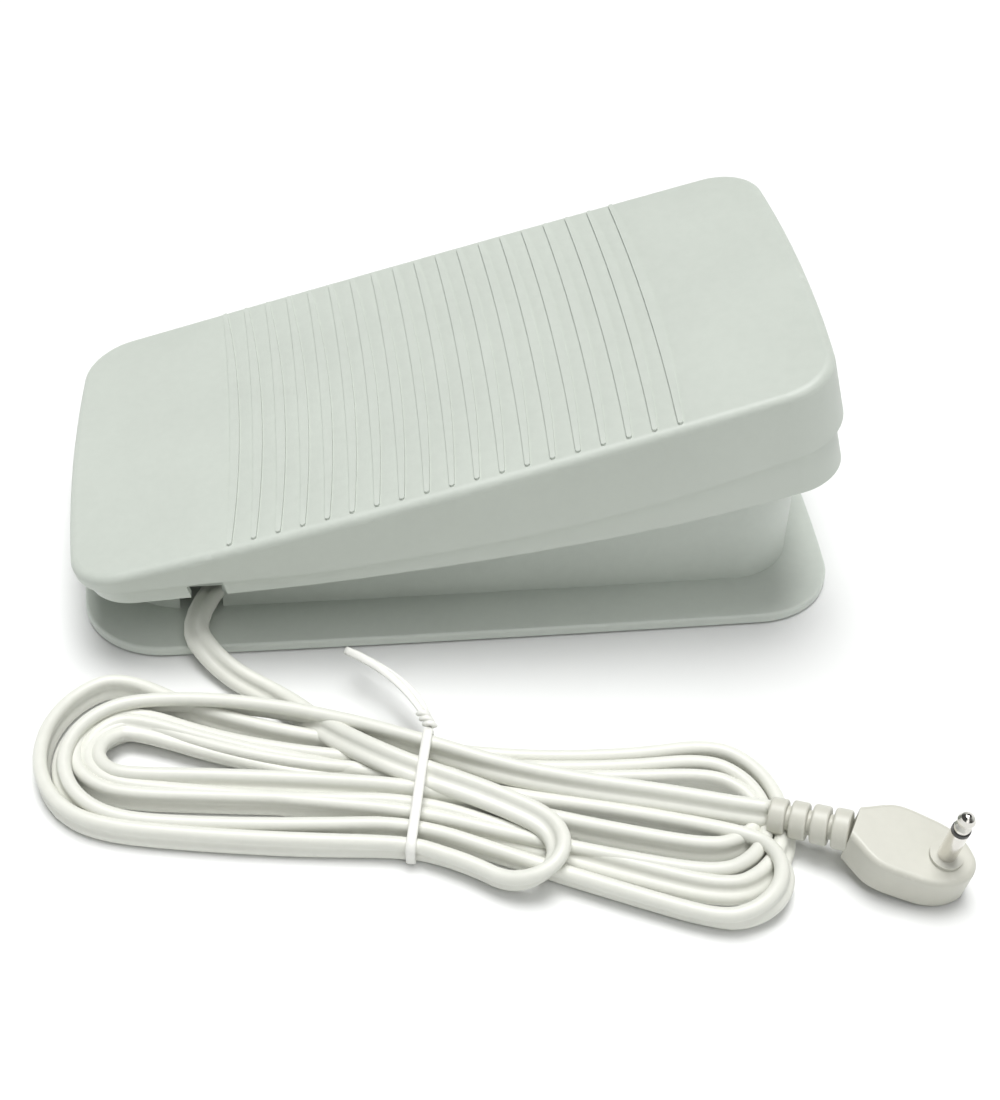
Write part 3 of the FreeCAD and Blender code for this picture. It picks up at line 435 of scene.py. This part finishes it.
def swept_points(path, outline, rolls):
    """The outline's points at every point of path, turned by rolls in degrees."""
    heading = np.gradient(path, axis=0)
    heading /= np.linalg.norm(heading, axis=1)[:, None]
    across = np.cross(heading, (0.0, 0.0, 1.0))
    across /= np.linalg.norm(across, axis=1)[:, None]
    up = np.cross(across, heading)
    turn = np.radians(rolls)[:, None]
    wide = np.cos(turn) * across + np.sin(turn) * up
    thick = np.cos(turn) * up - np.sin(turn) * across
    return [path[i] + MM * (u * wide[i] + v * thick[i]) for i in range(len(path)) for u, v in outline]


def sweep(name, path, outline, rolls):
    """A closed tube along path in metres; outline is across and through in millimetres."""
    path = np.asarray(path, float)
    count = len(outline)
    faces = []
    for i in range(len(path) - 1):
        for j in range(count):
            k = (j + 1) % count
            faces.append((i * count + j, i * count + k, (i + 1) * count + k, (i + 1) * count + j))
    last = (len(path) - 1) * count
    faces.append(tuple(reversed(range(count))))
    faces.append(tuple(range(last, last + count)))
    return mesh_object(name, swept_points(path, outline, rolls), faces)


def mesh_object(name, places, faces):
    """An object of these faces, facing out, smooth apart from faces of five corners or more."""
    mesh = bpy.data.meshes.new(name)
    mesh.from_pydata([tuple(p) for p in places], [], faces)
    made = bmesh.new()
    made.from_mesh(mesh)
    bmesh.ops.recalc_face_normals(made, faces=made.faces)
    made.to_mesh(mesh)
    made.free()
    for polygon in mesh.polygons:
        polygon.use_smooth = len(polygon.vertices) < 5
    piece = bpy.data.objects.new(name, mesh)
    bpy.context.scene.collection.objects.link(piece)
    return piece


def rolls_along(rolls, count):
    """Each sample's roll, between the control points' own rolls."""
    spans = len(rolls) - 2
    own = np.clip(np.arange(len(rolls)) - 0.5, 0, spans)
    return np.interp(np.linspace(0, spans, count), own, rolls)


def make_cord(material):
    """The whole cord, from the board to the plug, and the points that it follows."""
    rows = cord_route()
    path = spline_points([place for place, _ in rows], CORD_STEPS)
    rolls = rolls_along([roll for _, roll in rows], len(path))
    cord = sweep("cord", path, cord_section(), rolls)
    cord.data.materials.append(material)
    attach(cord, "base")
    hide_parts("cord_lead", "cord_hank")
    return cord, path


# ---------------------------------------------------------------- twist tie

TIE_MIDDLE = (-13.4, -90.8)
TIE_ALONG = (0.977, -0.213)      # the band's plane is square to this
TIE_ROOM = (1.2, 25.0)           # how far from the band, along and across, the cord still counts as inside it
TIE_STEP = 1.2                   # longest step between the band's points
TIE_HALF_WIDTH = 0.95
TIE_THICK = 0.8
# The band's section: shares of its thickness and of its half width
TIE_SECTION = ((0.02, -1), (0.75, -1), (1.0, -0.7), (1.0, 0.7), (0.75, 1), (0.02, 1))
KNOT = (-10.4, -74.6, 8.4)
KNOT_ALONG = (-0.35, 0.93, 0.12)
KNOT_START = -1.6
KNOT_RISE = 0.11                 # along the knot at each step
KNOT_TURN = 14                   # degrees at each step
KNOT_STEPS = 41
KNOT_RADIUS = 0.75
STRAND = (0.62, 0.5)             # half sizes of the knot's strands and of the tails
TAIL_STRAND = (0.85, 0.42)
TAIL_STEPS = 10
TAIL_ROLLS = ((-30, 40), (-30, 100))     # each tail's roll in degrees, at the knot and at its end
TIE_TAILS = (((-11.2, -72.0, 8.9), (-15.0, -65.5, 10.2), (-20.5, -58.5, 10.4), (-25.4, -53.6, 9.4)),
             ((-10.2, -71.6, 7.9), (-13.0, -64.0, 7.6), (-18.6, -56.6, 7.4), (-23.4, -51.6, 6.8)))


def hull(points):
    """Outline of the flat points, counter-clockwise."""
    points = sorted(set(map(tuple, points)))

    def chain(rows):
        out = []
        for p in rows:
            while len(out) > 1 and turned_right(out[-2], out[-1], p):
                out.pop()
            out.append(p)
        return out[:-1]

    return chain(points) + chain(points[::-1])


def turned_right(a, b, c):
    """Whether the way from a by b to c is straight or bends clockwise."""
    return (b[0] - a[0]) * (c[1] - a[1]) - (b[1] - a[1]) * (c[0] - a[0]) <= 0


def tie_frame():
    """The band's middle on the floor and its directions along and across the hank."""
    along = Vector((*TIE_ALONG, 0)).normalized()
    return Vector((*TIE_MIDDLE, 0)), along, Vector((along.y, -along.x, 0))


def tie_loop(cord):
    """Points around the bunch of cord at the tie, as across and height in millimetres."""
    origin, along, across = tie_frame()
    near = []
    for vertex in cord.data.vertices:
        place = vertex.co / MM - origin
        beside, sideways = abs(place.dot(along)), abs(place.dot(across))
        if beside < TIE_HALF_WIDTH + TIE_ROOM[0] and sideways < TIE_ROOM[1]:
            near.append((round(place.dot(across), 3), round(place.z, 3)))
    ring = hull(near)
    loop = []
    for i, (x, z) in enumerate(ring):
        after = ring[(i + 1) % len(ring)]
        steps = max(1, int(math.hypot(after[0] - x, after[1] - z) / TIE_STEP))
        loop += [(x + (after[0] - x) * k / steps, z + (after[1] - z) * k / steps) for k in range(steps)]
    return loop


def make_band(cord):
    """The band, a closed ring just outside the bunch of cord."""
    origin, along, across = tie_frame()
    loop = tie_loop(cord)
    count, ply = len(loop), len(TIE_SECTION)
    places, faces = [], []
    for i, (x, z) in enumerate(loop):
        before, after = np.array(loop[i - 1]), np.array(loop[(i + 1) % count])
        run = (after - before) / np.linalg.norm(after - before)
        out = np.array((run[1], -run[0]))
        for depth, side in TIE_SECTION:
            u, v = np.array((x, z)) + out * depth * TIE_THICK
            height = Vector((0, 0, max(FLOOR_GAP, v)))
            places.append((origin + across * u + height + along * side * TIE_HALF_WIDTH) * MM)
    for i in range(count):
        k = (i + 1) % count
        for j in range(ply):
            m = (j + 1) % ply
            faces.append((i * ply + j, i * ply + m, k * ply + m, k * ply + j))
    return mesh_object("tie", places, faces)


def oval(wide, thick, count=14):
    """A flat oval outline, as across and through in millimetres."""
    turns = [2 * math.pi * k / count for k in range(count)]
    return [(wide * math.cos(a), thick * math.sin(a)) for a in turns]


def make_tail(k, points):
    """One end of the tie, twisting a little on its way from the knot."""
    path = spline_points([KNOT] + list(points), TAIL_STEPS)
    rolls = np.linspace(*TAIL_ROLLS[k], len(path))
    return sweep(f"tie_tail_{k}", path, oval(*TAIL_STRAND), rolls)


def make_knot():
    """Two strands twisted round each other where the tie closes."""
    along = Vector(KNOT_ALONG).normalized()
    across = along.cross(Vector((0, 0, 1))).normalized()
    up = across.cross(along)
    found = []
    for strand in (0, 1):
        path = []
        for i in range(KNOT_STEPS):
            a = math.radians(strand * 180 + KNOT_TURN * i)
            spoke = (across * math.cos(a) + up * math.sin(a)) * KNOT_RADIUS
            path.append((Vector(KNOT) + along * (KNOT_START + KNOT_RISE * i) + spoke) * MM)
        found.append(sweep(f"tie_twist_{strand}", path, oval(*STRAND), np.zeros(len(path))))
    return found


def make_tie(cord, material):
    """The twist tie: band, knot and both tails as one piece."""
    band = make_band(cord)
    parts = make_knot() + [make_tail(k, points) for k, points in enumerate(TIE_TAILS)]
    bpy.ops.object.select_all(action="DESELECT")
    for part in [band] + parts:
        part.data.materials.append(material)
        part.select_set(True)
    bpy.context.view_layer.objects.active = band
    bpy.ops.object.join()
    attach(band, "base")
    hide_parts("twist_tie")
    return band


# ---------------------------------------------------------------- spring


def make_spring(material):
    """The return spring, as its own copy of the CAD part with the spring material."""
    coil = bpy.data.objects.new("spring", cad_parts["return_spring"].data.copy())
    bpy.context.scene.collection.objects.link(coil)
    coil.data.materials.clear()
    coil.data.materials.append(material)
    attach(coil, "base")
    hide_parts("return_spring")
    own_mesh(coil)


# ---------------------------------------------------------------- build

make_camera()
make_light()
make_floor()
MATERIALS = make_materials()
dress_nodes(MATERIALS)
cord, cord_path = make_cord(MATERIALS["cord_sheath"])
tie = make_tie(cord, MATERIALS["tie_plastic"])
make_spring(MATERIALS["spring_steel"])
